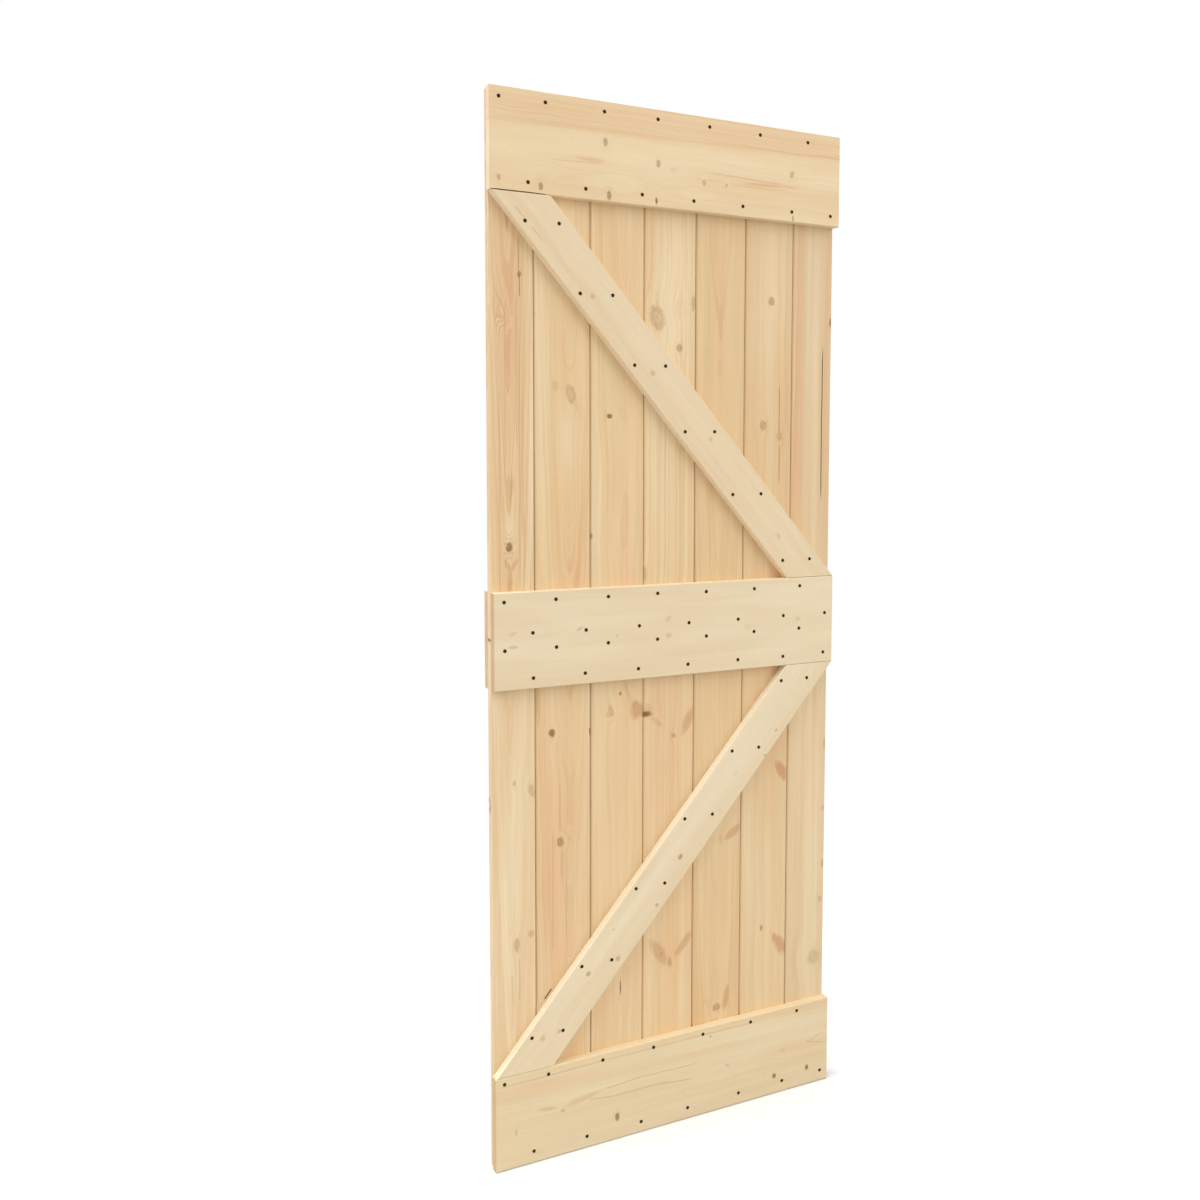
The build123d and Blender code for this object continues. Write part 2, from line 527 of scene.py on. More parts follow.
# What all the timbers share. A pair of colours runs from faint or low to strong or high.
pineLook = {
    "redHeartwood": (0.735, 0.445, 0.245, 1.0),
    "paleSapwood": (0.84, 0.68, 0.45, 1.0),
    "flushStrength": 0.7,
    "redLateWood": (0.60, 0.30, 0.15, 1.0),
    "lateWhereRed": 0.45,  # added to the growth rings' contrast
    "lateAtKnots": 0.4,
    "lateWherePale": -0.6,  # as a share of it
    "deepHeartwood": (0.46, 0.25, 0.13, 1.0),  # where the redness goes beyond 1
    "clouds": ((1.01, 0.985, 0.955, 1.0), (0.99, 1.01, 1.03, 1.0)),
    "flare": (0.538, 0.262, 0.12, 1.0),
    "line": (0.50, 0.28, 0.13, 1.0),
    "lineStrength": 0.36,
    # colour that the painted shade in the boards' V joints multiplies in
    "joint": (0.45, 0.32, 0.22, 1.0),
    "heart": ((0.47, 0.27, 0.10, 1.0), (0.13, 0.05, 0.012, 1.0)),
    "rim": ((0.40, 0.23, 0.085, 1.0), (0.12, 0.055, 0.014, 1.0)),
    # dark colour of cracks, also of painted shade lines
    "crackAndShadeLine": (0.10, 0.05, 0.022, 1.0),
    "ductShade": -0.14,
    "endShade": -0.15,
    "roughness": 0.62,
    "specular": 0.35,
    "bumpStrength": 0.4,
    "bumpDepth": 0.0004,  # metres
}


def makeToneGroup():
    # puts the patterns together as colour, roughness and height
    tree, given, out = startGroup("pineTone", {
        "Late": 0.0, "Band": 0.5, "Redness": 0.0, "Fibre": 0.5, "Duct": 0.0, "Cloud": 0.5,
        "Heart": 0.0, "Rim": 0.0, "Stir": 0.0, "Crack": 0.0, "Line": 0.0, "Flare": 0.0,
        "End Grain": 0.0, "Side": 0.0, "Painted Side Lighting": anyColour, "Pale": anyColour,
        "Warm": anyColour, "Late Tint": anyColour, "Contrast": 0.5, "Streaks": 0.4,
        "Clouds": 0.1, "Painted Joint Shade": 0.0,
    }, {"Colour": anyColour, "Roughness": 0.5, "Height": 0.0})
    look = pineLook
    ground = blendColour(tree, ramp(tree, given["Band"], 0.32, 0.68), given["Pale"], given["Warm"])
    redness = limited(tree, given["Redness"])
    paleness = limited(tree, calc(tree, "MULTIPLY", given["Redness"], -1.0))
    for amount, wood in ((redness, "redHeartwood"), (paleness, "paleSapwood")):
        amount = calc(tree, "MULTIPLY", amount, look["flushStrength"])
        ground = blendColour(tree, amount, ground, look[wood])
    lateTint = blendColour(tree, redness, given["Late Tint"], look["redLateWood"])
    late = calc(tree, "MULTIPLY_ADD", redness, look["lateWhereRed"], given["Contrast"])
    late = calc(tree, "MULTIPLY_ADD", given["Stir"], look["lateAtKnots"], late)
    late = calc(tree, "MULTIPLY", given["Late"], late)
    fainter = calc(tree, "MULTIPLY_ADD", paleness, look["lateWherePale"], 1.0)
    late = calc(tree, "MULTIPLY", late, fainter)
    colour = blendColour(tree, limited(tree, late), ground, lateTint)
    deep = limited(tree, calc(tree, "SUBTRACT", given["Redness"], 1.0), 0.9)
    colour = blendColour(tree, deep, colour, look["deepHeartwood"])
    hue = blendColour(tree, ramp(tree, given["Cloud"], 0.3, 0.7), *look["clouds"])
    colour = blendColour(tree, 1.0, colour, hue, "MULTIPLY")
    cloudy = swing(tree, given["Cloud"], given["Clouds"], 1.0)
    streaky = swing(tree, given["Fibre"], given["Streaks"], 1.0)
    ducts = calc(tree, "MULTIPLY_ADD", given["Duct"], look["ductShade"], 1.0)
    ends = calc(tree, "MULTIPLY_ADD", given["End Grain"], look["endShade"], 1.0)
    level = calc(tree, "MULTIPLY", calc(tree, "MULTIPLY", cloudy, streaky),
                 calc(tree, "MULTIPLY", ducts, ends))
    colour = vectorCalc(tree, "SCALE", colour, scale=level)
    colour = blendColour(tree, limited(tree, given["Flare"], 0.95), colour, look["flare"])
    line = calc(tree, "MULTIPLY", given["Line"], look["lineStrength"])
    colour = blendColour(tree, line, colour, look["line"])
    # painted light and shade: faces turned from the front are made lighter or darker
    colour = blendColour(tree, given["Side"], colour, given["Painted Side Lighting"], "MULTIPLY")
    # painted shade at the bottom of the V joints between boards
    colour = blendColour(tree, given["Painted Joint Shade"], colour, look["joint"], "MULTIPLY")
    heartTint = blendColour(tree, ramp(tree, given["Heart"], 0.4, 1.0), *look["heart"])
    heart = limited(tree, calc(tree, "MULTIPLY", given["Heart"], 1.1), 0.95)
    colour = blendColour(tree, heart, colour, heartTint)
    rimTint = blendColour(tree, given["Rim"], *look["rim"])
    colour = blendColour(tree, limited(tree, given["Rim"], 0.9), colour, rimTint)
    # cracks, and painted shade lines, take the dark crack colour
    crackAndShadeLine = calc(tree, "MULTIPLY", given["Crack"], 0.95)
    feed(tree, out["Colour"], blendColour(tree, crackAndShadeLine, colour, look["crackAndShadeLine"]))
    rough = calc(tree, "MULTIPLY_ADD", given["Late"], -0.08, look["roughness"])
    rough = calc(tree, "MULTIPLY_ADD", given["Heart"], -0.15, rough)
    feed(tree, out["Roughness"], calc(tree, "MULTIPLY_ADD", given["End Grain"], 0.15, rough))
    height = calc(tree, "MULTIPLY", given["Late"], 0.3)
    for title, weight in (("Fibre", 0.5), ("Duct", -0.3), ("Crack", -2.0), ("Heart", 0.4)):
        height = calc(tree, "MULTIPLY_ADD", given[title], weight, height)
    feed(tree, out["Height"], height)
    return tree


knotGroup = makeKnotGroup()
flushGroup = makeFlushGroup()
flareGroup = makeFlareGroup()
crackAndShadeGroup = makeCrackGroup()
ringGroup = makeRingGroup()
fibreGroup = makeFibreGroup()
toneGroup = makeToneGroup()
print("timber patterns built")

mm = 0.001
markSettings = {
    "throughDepth": 200,  # millimetres, for a mark that goes right through the timber
    "softness": {"cracksAndShadeLines": 0.3, "lines": 1.2},  # millimetres at their edges
    "leftVee": (3.4, 0.6),  # millimetres from the board's edge to where the V's painted shade starts
    "rightVee": (1.4, 0.5),  # and is full
    "contrastChange": (0.95, 1.15),  # metres down, from contrast to lowerContrast
}


def markPlace(along, across, depth=0.0):
    return (along * mm, depth * mm, across * mm)


def markFrame(along, across, length, width, turn, depth=0.0, thick=markSettings["throughDepth"]):
    # where a mark lies and how large it is
    return {"Centre": markPlace(along, across, depth), "Turn": math.radians(turn),
            "Size": markPlace(length / 2, width / 2, thick)}


def addLines(tree, timber, kind, place):
    drawn = 0.0
    for along, across, length, width, turn in timber.get(kind, ()):
        drawn = placeGroup(tree, crackAndShadeGroup, Place=place, Crack=drawn,
                           Centre=markPlace(along, across), Turn=math.radians(turn),
                           Softness=markSettings["softness"][kind] * mm,
                           **{"Half Length": length * mm / 2, "Half Width": width * mm / 2})[0]
    return drawn


def addMarks(tree, timber, place):
    # chains the piece's knots, flushes, flares, cracks and painted shade lines, and returns what
    # they leave behind
    grain, lift, heart, rim, stir = place, 0.0, 0.0, 0.0, 0.0
    for along, across, length, width, turn, core, ring, *depths in timber.get("knots", ()):
        mark = markFrame(along, across, length, width, turn, *depths)
        grain, lift, heart, rim, stir = placeGroup(
            tree, knotGroup, Place=place, Grain=grain, Lift=lift, Heart=heart, Rim=rim, Stir=stir,
            Core=core, Ring=ring, **mark)
    redness = 0.0
    for *outline, strength in timber.get("flushes", ()):
        redness = placeGroup(tree, flushGroup, Place=place, Redness=redness, Strength=strength,
                             **markFrame(*outline))[0]
    flare = 0.0
    for along, across, length, width, turn, strength, *widening in timber.get("flares", ()):
        flare = placeGroup(tree, flareGroup, Place=place, Flare=flare, Strength=strength,
                           Widening=widening[0] if widening else 0.0,
                           **markFrame(along, across, length, width, turn))[0]
    return grain, lift, {
        "Heart": heart, "Rim": rim, "Stir": stir, "Redness": redness, "Flare": flare,
        "Crack": addLines(tree, timber, "cracksAndShadeLines", place),
        "Line": addLines(tree, timber, "lines", place),
    }


def paintedJointShade(tree, timber, across):
    # painted shade at the bottom of the V beside the board's left and right edge, where the seam
    # lies in shadow
    if "joints" not in timber:
        return 0.0
    half = timber["halfWidth"]
    left, right = timber["joints"]
    start, full = markSettings["leftVee"]
    leftSide = ramp(tree, across, start * mm - half, full * mm - half, 0.0, left)
    start, full = markSettings["rightVee"]
    rightSide = ramp(tree, across, half - start * mm, half - full * mm, 0.0, right)
    return calc(tree, "ADD", leftSide, rightSide)


def tinted(timber, title):
    # one of the timber's colours with the timber's own tint
    return tuple(part * tint for part, tint in zip(timber[title], (*timber["tint"], 1)))


def makePine(name, timber):
    material = bpy.data.materials.new(name + "Pine")
    material.use_nodes = True
    tree = material.node_tree
    shader = tree.nodes["Principled BSDF"]
    coordinates = tree.nodes.new("ShaderNodeTexCoord").outputs
    mapping = tree.nodes.new("ShaderNodeMapping")
    mapping.vector_type = "TEXTURE"
    tree.links.new(coordinates["Object"], mapping.inputs["Vector"])
    mapping.inputs["Location"].default_value = timber["start"]
    mapping.inputs["Rotation"].default_value = (0.0, timber["turn"], 0.0)
    place = mapping.outputs["Vector"]
    grain, lift, marks = addMarks(tree, timber, place)
    depth, across = timber["pith"]
    rings = placeGroup(tree, ringGroup, Grain=grain, Lift=lift, Pith=markPlace(0.0, across, depth),
                       Seed=timber["seed"], Taper=timber["taper"], Wander=timber["wander"] * mm,
                       **{"Ring Width": timber["ringWidth"] * mm})
    fibre = placeGroup(tree, fibreGroup, Grain=grain, Seed=timber["seed"])
    along, depth, across = axes(tree, place)
    contrast = timber["contrast"]
    if "lowerContrast" in timber:
        above, below = markSettings["contrastChange"]
        contrast = ramp(tree, along, above, below, contrast, timber["lowerContrast"])
    grainWay = (math.cos(timber["turn"]), 0.0, -math.sin(timber["turn"]))
    facing = vectorCalc(tree, "DOT_PRODUCT", coordinates["Normal"], grainWay)
    endGrain = ramp(tree, calc(tree, "ABSOLUTE", facing), 0.3, 0.6)
    # painted light and shade: faces turned from the front take the side tint, and ends the end
    # tint, to look lit or shaded
    forward = vectorCalc(tree, "DOT_PRODUCT", coordinates["Normal"], (0.0, 1.0, 0.0))
    side = ramp(tree, calc(tree, "ABSOLUTE", forward), 0.9, 0.3)
    paintedEndLighting = timber.get("paintedEndLighting", timber["paintedSideLighting"])
    paintedSideLighting = blendColour(tree, endGrain, (*timber["paintedSideLighting"], 1.0), (*paintedEndLighting, 1.0))
    tone = placeGroup(tree, toneGroup, **marks, **{
        "Late": rings["Late"], "Band": rings["Band"], "Fibre": fibre["Fibre"],
        "Duct": fibre["Duct"], "Cloud": fibre["Cloud"], "Pale": tinted(timber, "pale"),
        "Warm": tinted(timber, "warm"), "Late Tint": tinted(timber, "lateTint"),
        "Contrast": contrast, "Streaks": timber["streaks"], "Clouds": timber["clouds"],
        "Painted Joint Shade": paintedJointShade(tree, timber, across), "Side": side, "Painted Side Lighting": paintedSideLighting,
        "End Grain": endGrain,
    })
    tree.links.new(tone["Colour"], shader.inputs["Base Color"])
    tree.links.new(tone["Roughness"], shader.inputs["Roughness"])
    shader.inputs["Specular IOR Level"].default_value = pineLook["specular"]
    bump = tree.nodes.new("ShaderNodeBump")
    bump.inputs["Strength"].default_value = pineLook["bumpStrength"]
    bump.inputs["Distance"].default_value = pineLook["bumpDepth"]
    tree.links.new(tone["Height"], bump.inputs["Height"])
    tree.links.new(bump.outputs["Normal"], shader.inputs["Normal"])
    return material


def finishNode(name, timber):
    piece = nodes[name]
    piece.data.materials.clear()
    piece.data.materials.append(makePine(name, timber))


# The boards, from the left. Sizes are in millimetres: down from the top of the leaf, and right
# of the board's own middle line. A turn is in degrees from the grain towards the right.
# pith: where the growth rings are centred, into the depth and across
# taper: how much narrower the rings' cone gets to the metre; wander: how far the pith strays
# contrast and lowerContrast: of the growth rings above and below the middle rail
# tint: of the whole timber; the side and end tints: painted light and shade on its side faces and
# its ends, lighter above 1 and darker below
# joints: how strong the painted shade in the V is at the left and the right edge
# knots: down, across, length, width, turn, darkness of the heart, darkness of its ring (and
# depth and thickness of one at an edge)
# flushes: down, across, length, width, turn, redness; below nothing they are paler
# flares: down, across, length, width, turn, darkness (and how much wider towards the lower end)
# cracks, with lines of painted shade among them, and lines: down, across, length, width, turn
boardWood = {
    "pale": (0.80, 0.60, 0.36, 1.0),
    "warm": (0.77, 0.53, 0.295, 1.0),
    "lateTint": (0.66, 0.42, 0.21, 1.0),
    # painted shade: the boards' side faces a little darker
    "paintedSideLighting": (0.95, 0.93, 0.95),
    "streaks": 0.4,
    "clouds": 0.12,
    "wander": 6,
}
boards = {
    "board_1": {
        "pith": (12, -8), "ringWidth": 7.5, "taper": 0.032, "contrast": 0.7, "lowerContrast": 0.35,
        "seed": 3.1, "wander": 2, "tint": (0.955, 0.98, 0.97), "joints": (0.0, 0.0),
        "knots": [
            (340, 16, 12, 7, 0, 0.8, 0.5), (396, -28, 40, 20, 10, 0.03, 0.02),
            (416, -18, 20, 10, 20, 0.05, 0.07), (862, -7, 17, 12, 0, 0.85, 0.8),
            (1327, 1, 9, 6, 0, 0.45, 0.25), (1345, 37, 26, 13, 20, 0.4, 0.2),
            (1654, 4, 24, 12, 0, 0.4, 0.25), (1636, 35, 15, 13, 0, 0.45, 0.15),
            (1041, -46, 5, 10, 0, 1.0, 0.6, 9, 9), (1367, -46, 26, 6, 0, 0.2, 0.7, 13, 6),
        ],
        "flushes": [
            (480, -10, 720, 70, 0, 0.8), (760, 26, 420, 14, 0, 0.5), (830, -6, 60, 30, 0, -0.7),
            (640, 40, 700, 12, 0, -0.9), (1050, -48, 2400, 12, 0, -0.5),
            (1540, 0, 820, 110, 0, -0.8), (1330, -20, 300, 30, 0, 0.5), (1720, 0, 300, 20, 0, 0.5),
        ],
        "flares": [
            (752, -5, 64, 13, 0, 0.42, -0.8), (897, -11, 30, 9, 24, 0.4), (898, 2, 30, 9, -30, 0.4),
            (926, -6, 56, 11, 0, 0.5),
        ],
        "cracksAndShadeLines": [(304, 14.5, 70, 0.7, 1), (362, 16.5, 44, 0.8, 1)],
        "lines": [
            (820, -26, 560, 1.6, 0), (720, 15, 520, 2.0, 0), (880, 24, 180, 1.6, 0),
            (520, 9, 300, 1.4, 0), (560, -14, 340, 1.4, 0), (700, 21, 300, 1.2, 0),
            (1725, 10, 90, 1.5, 0), (1740, -6, 60, 1.5, 0),
        ],
    },
    "board_2": {
        "pith": (34, 14), "ringWidth": 9, "taper": 0.03, "contrast": 0.22, "lowerContrast": 0.42,
        "seed": 14.7, "wander": 4, "tint": (0.945, 0.955, 0.907), "joints": (0.15, 0.0),
        "knots": [
            (564, 17, 34, 18, 15, 0.36, 0.32), (583, 27, 20, 6, 30, 0.1, 0.06),
            (549, -16, 16, 13, -10, 0.18, 0.1), (1235, -25, 15, 13, 0, 0.9, 0.6),
            (1458, -7, 19, 14, 10, 0.72, 0.5), (1455, 12, 12, 8, 0, 0.2, 0.12),
        ],
        "flushes": [
            (880, 30, 240, 90, 0, 0.5), (930, 30, 110, 50, 0, 0.45), (420, -40, 500, 60, 0, -0.5),
            (470, -6, 120, 30, 0, 0.5), (1500, -10, 800, 130, 0, 0.72),
            (1262, 18, 130, 26, 0, -0.5), (650, 10, 160, 30, 0, -0.7), (230, 0, 200, 120, 0, -0.4),
        ],
        "flares": [(1170, -54, 90, 10, 0, 0.36)],
        "cracksAndShadeLines": [(1767, -35, 26, 2.8, -40), (1240, 58, 16, 2.2, 0)],
        "lines": [
            (1500, -4, 70, 1.6, 0), (1390, -8, 110, 1.4, 0), (1600, 6, 240, 1.4, 0),
            (1560, -24, 260, 1.4, 0),
        ],
    },
    "board_3": {
        "pith": (30, 16), "ringWidth": 10, "taper": 0.02, "contrast": 0.3, "lowerContrast": 0.16,
        "seed": 25.2, "wander": 5, "tint": (0.945, 0.95, 0.907), "joints": (0.2, 0.0),
        "knots": [
            (606, -18, 9, 11, 0, 1.0, 0.8), (600, 12, 34, 14, 20, 0.04, 0.08),
            (1203, -15, 24, 11, 15, 0.45, 0.22), (1211, -20, 12, 8, 40, 0.3, 0.2),
            (1169, 7, 8, 6, 0, 0.75, 0.5), (845, -58, 9, 5, 0, 0.7, 0.4),
            (1788, 8, 32, 3.2, 0, 0.9, 0.3),
        ],
        "flushes": [
            (860, 20, 360, 60, 0, 0.7), (930, 16, 120, 90, 0, 0.4), (780, -46, 560, 22, 0, -0.5),
            (330, 10, 260, 60, 0, 0.5), (1500, -10, 760, 110, 0, -0.3),
        ],
        "flares": [(1205, 45, 40, 34, 25, 0.7, 0.35), (1166, 23, 62, 9, 20, 0.24, 0.3)],
    },
    "board_4": {
        "pith": (30, -110), "ringWidth": 8.5, "taper": 0.004, "contrast": 0.85,
        "lowerContrast": 0.22, "seed": 37.9, "wander": 4, "lateTint": (0.60, 0.43, 0.22, 1.0),
        "tint": (0.97, 0.97, 0.936), "joints": (0.0, 0.0),
        "knots": [
            (406, -31, 46, 30, 15, 0.42, 0.35), (464, 21, 15, 13, 0, 0.6, 0.35),
            (372, 54, 30, 9, 0, 0.5, 0.3), (385, 24, 34, 26, 30, 0.02, 0.05),
            (1217, -54, 13, 22, 0, 1.0, 0.5), (1219, -44, 7, 14, 15, 0.5, 0.2),
            (1269, 11, 10, 9, 0, 0.6, 0.35), (1756, 6, 17, 9, 10, 0.52, 0.32),
            (1735, -16, 7, 5, 0, 0.5, 0.2), (925, -57, 30, 7, 0, 0.4, 0.2),
        ],
        "flushes": [
            (370, 14, 420, 100, 0, -1.0), (260, -46, 300, 26, 0, 0.7), (800, 0, 300, 120, 0, -0.3),
            (1200, -30, 110, 60, 0, 0.4), (1240, 46, 110, 40, 0, 0.35), (1730, 0, 110, 110, 0, 0.4),
            (1350, -20, 500, 120, 0, 0.5), (330, 0, 400, 120, 0, -0.3),
        ],
        "flares": [
            (1206, -50, 24, 20, 0, 0.3), (1236, -28, 34, 12, 49, 0.32),
            (1241, 45, 58, 21, -24, 0.58), (1731, -21, 70, 25, 32, 0.52),
            (1721, 39, 68, 18, -42, 0.52),
        ],
    },
    "board_5": {
        "pith": (24, -2), "ringWidth": 12, "taper": 0.04, "contrast": 0.32, "lowerContrast": 0.16,
        "seed": 48.3, "wander": 4, "tint": (0.906, 0.891, 0.823), "joints": (0.1, 0.0),
        "knots": [
            (1508, 9, 22, 7, 0, 0.3, 0.12), (1880, 1, 15, 18, 10, 0.62, 0.4),
            (500, -2, 30, 8, 0, 0.08, 0.04),
        ],
        "flushes": [
            (450, -4, 420, 22, 0, 0.7), (1500, 0, 900, 120, 0, -0.2), (1860, 10, 110, 110, 0, 0.35),
        ],
        "flares": [
            (1496, 40, 50, 19, -55, 0.58), (1497, -28, 50, 14, 60, 0.1),
            (1864, 25, 54, 15, -11, 0.58), (1866, -22, 40, 12, 50, 0.1),
        ],
    },
    "board_6": {
        "pith": (30, 72), "ringWidth": 7, "taper": 0.01, "contrast": 0.36, "lowerContrast": 0.16,
        "seed": 52.6, "tint": (0.915, 0.915, 0.87), "joints": (0.0, 0.0),
        "knots": [
            (356, 5, 17, 15, 0, 0.65, 0.35), (619, -13, 19, 15, 0, 0.55, 0.4),
            (643, 29, 18, 12, 0, 0.5, 0.3), (622, 28, 34, 5, 0, 0.22, 0.08),
            (1724, -5, 14, 7, 0, 0.7, 0.4),
        ],
        "flushes": [
            (620, 26, 460, 60, 0, 0.25), (938, 26, 80, 64, 0, 1.3), (1152, 30, 70, 60, 0, 1.4),
            (1640, -10, 600, 120, 0, -0.2), (1290, 0, 320, 120, 0, 0.6),
            (380, 0, 420, 130, 0, -0.45),
        ],
        "flares": [(1376, 44, 52, 24, 28, 0.78), (1768, 44, 68, 28, 38, 0.7, 0.35)],
        "cracksAndShadeLines": [(585, 28, 110, 0.8, 0), (700, 29, 90, 0.9, 0)],
    },
    "board_7": {
        "pith": (40, -95), "ringWidth": 7, "taper": 0.012, "contrast": 0.32, "lowerContrast": 0.2,
        "seed": 66.1, "tint": (0.885, 0.907, 0.91), "joints": (0.05, 0.0),
        "knots": [
            (393, 49, 16, 7, 0, 0.9, 0.6), (1329, 49, 26, 7, 0, 0.5, 0.3),
            (1475, 46, 10, 6, 0, 0.4, 0.2), (1603, 47, 18, 7, 0, 0.5, 0.3),
            (1685, 41, 13, 8, 0, 0.55, 0.3), (1812, 30, 10, 8, 0, 0.4, 0.2),
            (1822, 18, 8, 8, 0, 0.3, 0.1), (1817, 27, 34, 34, 0, 0.3, 0.12),
        ],
        "flushes": [
            (560, -38, 860, 26, 0, 0.8), (560, -28, 860, 7, 0, 0.6), (560, 40, 700, 20, 0, 0.5),
            (500, 6, 700, 30, 0, -0.6), (1500, 10, 900, 120, 0, -0.5),
        ],
        "cracksAndShadeLines": [(613, 28.6, 356, 2.2, 0)],
    },
}
for index, (name, timber) in enumerate(boards.items()):
    left, right = boardEdges[index:index + 2]
    place = {"start": ((left + right) / 2, boardFront, leafTop), "turn": math.radians(90),
             "halfWidth": (right - left) / 2}
    finishNode(name, {**boardWood, **place, **timber})
print("boards finished")

# The rails. Along is from the left end, across is up from the rail's middle line.
railWood = {
    "pale": (0.83, 0.665, 0.44, 1.0),
    "warm": (0.80, 0.60, 0.37, 1.0),
    "lateTint": (0.72, 0.49, 0.27, 1.0),
    # painted light: the rails' side faces lighter
    "paintedSideLighting": (1.08, 1.15, 1.26),
    "contrast": 0.2,
    "streaks": 0.25,
    "clouds": 0.16,
    "turn": 0.0,
    "wander": 6,
}
rails = {
    "top_rail": {
        "pith": (40, -60), "ringWidth": 12, "taper": 0.01, "seed": 71.4,
        # painted light: this rail's ends lighter
        "tint": (0.945, 0.945, 0.90), "paintedEndLighting": (1.26, 1.31, 1.53),
        "knots": [
            (239, 18, 15, 9, 90, 0.65, 0.35), (356, -10, 14, 9, 90, 0.6, 0.4),
            (391, -17, 14, 7, 0, 0.12, 0.1), (462, -36, 11, 8, 90, 0.52, 0.34),
            (515, -36, 9, 5, 60, 0.5, 0.3), (676, 3, 13, 9, 60, 0.5, 0.36),
            (103, -81, 15, 9, 90, 0.75, 0.4), (247, -83, 16, 9, 90, 0.8, 0.5),
            (352, -83, 15, 6, 90, 0.9, 0.4), (18, -72, 10, 7, 90, 0.6, 0.3),
            (680, -88, 12, 5, 90, 0.7, 0.3),
        ],
        "flushes": [
            (400, 72, 1600, 56, 0, 0.6), (400, 42, 1600, 10, 1, 0.6), (606, -26, 130, 12, 2, 0.9),
            (206, -19, 90, 14, 0, 0.8), (560, -18, 220, 5, -1, 0.7), (470, -30, 60, 4, 0, 0.6),
            (300, 14, 900, 44, 0, -0.6),
        ],
        "flares": [
            (206, -19, 60, 7, 0, 0.22), (606, -26, 100, 5, 2, 0.26), (668, -24, 36, 4, -5, 0.2),
        ],
        # painted shade: a dark line along the rail's lower edge where the upper brace meets it
        "cracksAndShadeLines": [(58, -94.4, 118, 1.4, 0)],
        "lines": [(180, -26, 110, 0.4, 2), (560, -17, 180, 0.4, -2), (600, -33, 150, 0.2, 1)],
    },
    "middle_rail": {
        "pith": (80, 20), "ringWidth": 14, "taper": 0.006, "seed": 85.8, "contrast": 0.05,
        "warm": (0.81, 0.63, 0.405, 1.0), "streaks": 0.12, "clouds": 0.2,
        "tint": (0.917, 0.945, 0.957), "paintedEndLighting": (0.905, 0.74, 0.634),
        "knots": [
            (39, 15, 13, 6, 20, 0.25, 0.1), (39, -11, 17, 7, 0, 0.4, 0.15),
            (180, 16, 13, 5, 25, 0.42, 0.18), (263, -3, 7, 6, 0, 0.3, 0.15),
            (380, 24, 14, 10, 40, 0.25, 0.1), (381, -10, 13, 11, 0, 0.32, 0.14),
            (574, -5, 20, 10, 0, 0.12, 0.06), (702, 5, 13, 8, 0, 0.25, 0.1),
        ],
    },
    "bottom_rail": {
        "pith": (55, -30), "ringWidth": 12, "taper": 0.014, "seed": 93.2, "contrast": 0.14,
        "tint": (0.90, 0.92, 0.89), "paintedEndLighting": (0.93, 0.79, 0.70),
        "knots": [
            (144, -3, 7, 7, 0, 0.45, 0.3), (267, -48, 10, 17, 0, 0.85, 0.5),
            (534, -1, 8, 7, 0, 0.3, 0.2), (678, -1, 9, 8, 0, 0.2, 0.12),
            (656, -55, 9, 11, 0, 0.95, 0.6), (744, -56, 8, 12, 0, 0.95, 0.6),
            (43, -22, 5, 13, 0, 0.3, 0.15), (491, 73, 5, 5, 0, 0.5, 0.2),
        ],
        "flushes": [(110, 60, 400, 40, 0, 0.4), (700, 0, 240, 30, 0, 0.3)],
        "flares": [(110, 9, 42, 9, -8, 0.34), (196, 12, 92, 13, 9, 0.3, -0.6)],
        "lines": [
            (120, 78.5, 240, 2.0, 1), (420, 80.5, 380, 1.4, 0), (285, 22, 96, 2.4, 4),
            (390, 22.5, 150, 1.8, -1), (230, 2, 56, 2.2, -6), (322, -1, 140, 2.2, 0),
            (402, -6, 90, 1.6, -5), (762, 9, 44, 1.6, 18), (762, -1, 50, 1.6, -14),
        ],
    },
    "back_middle_rail": {
        "pith": (-60, 30), "ringWidth": 8, "taper": 0.02, "seed": 98.5, "tint": (0.96, 0.94, 0.90),
        "paintedSideLighting": (0.92, 0.9, 0.92),
        "knots": [
            (180, 30, 16, 12, 0, 0.7, 0.6), (520, -40, 12, 10, 0, 0.5, 0.4),
            (690, 20, 22, 12, 10, 0.4, 0.3),
        ],
    },
}
for name, timber in rails.items():
    low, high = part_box(name)
    start = (low.x, low.y, (low.z + high.z) / 2)
    finishNode(name, {**railWood, "start": start, **timber})
print("rails finished")

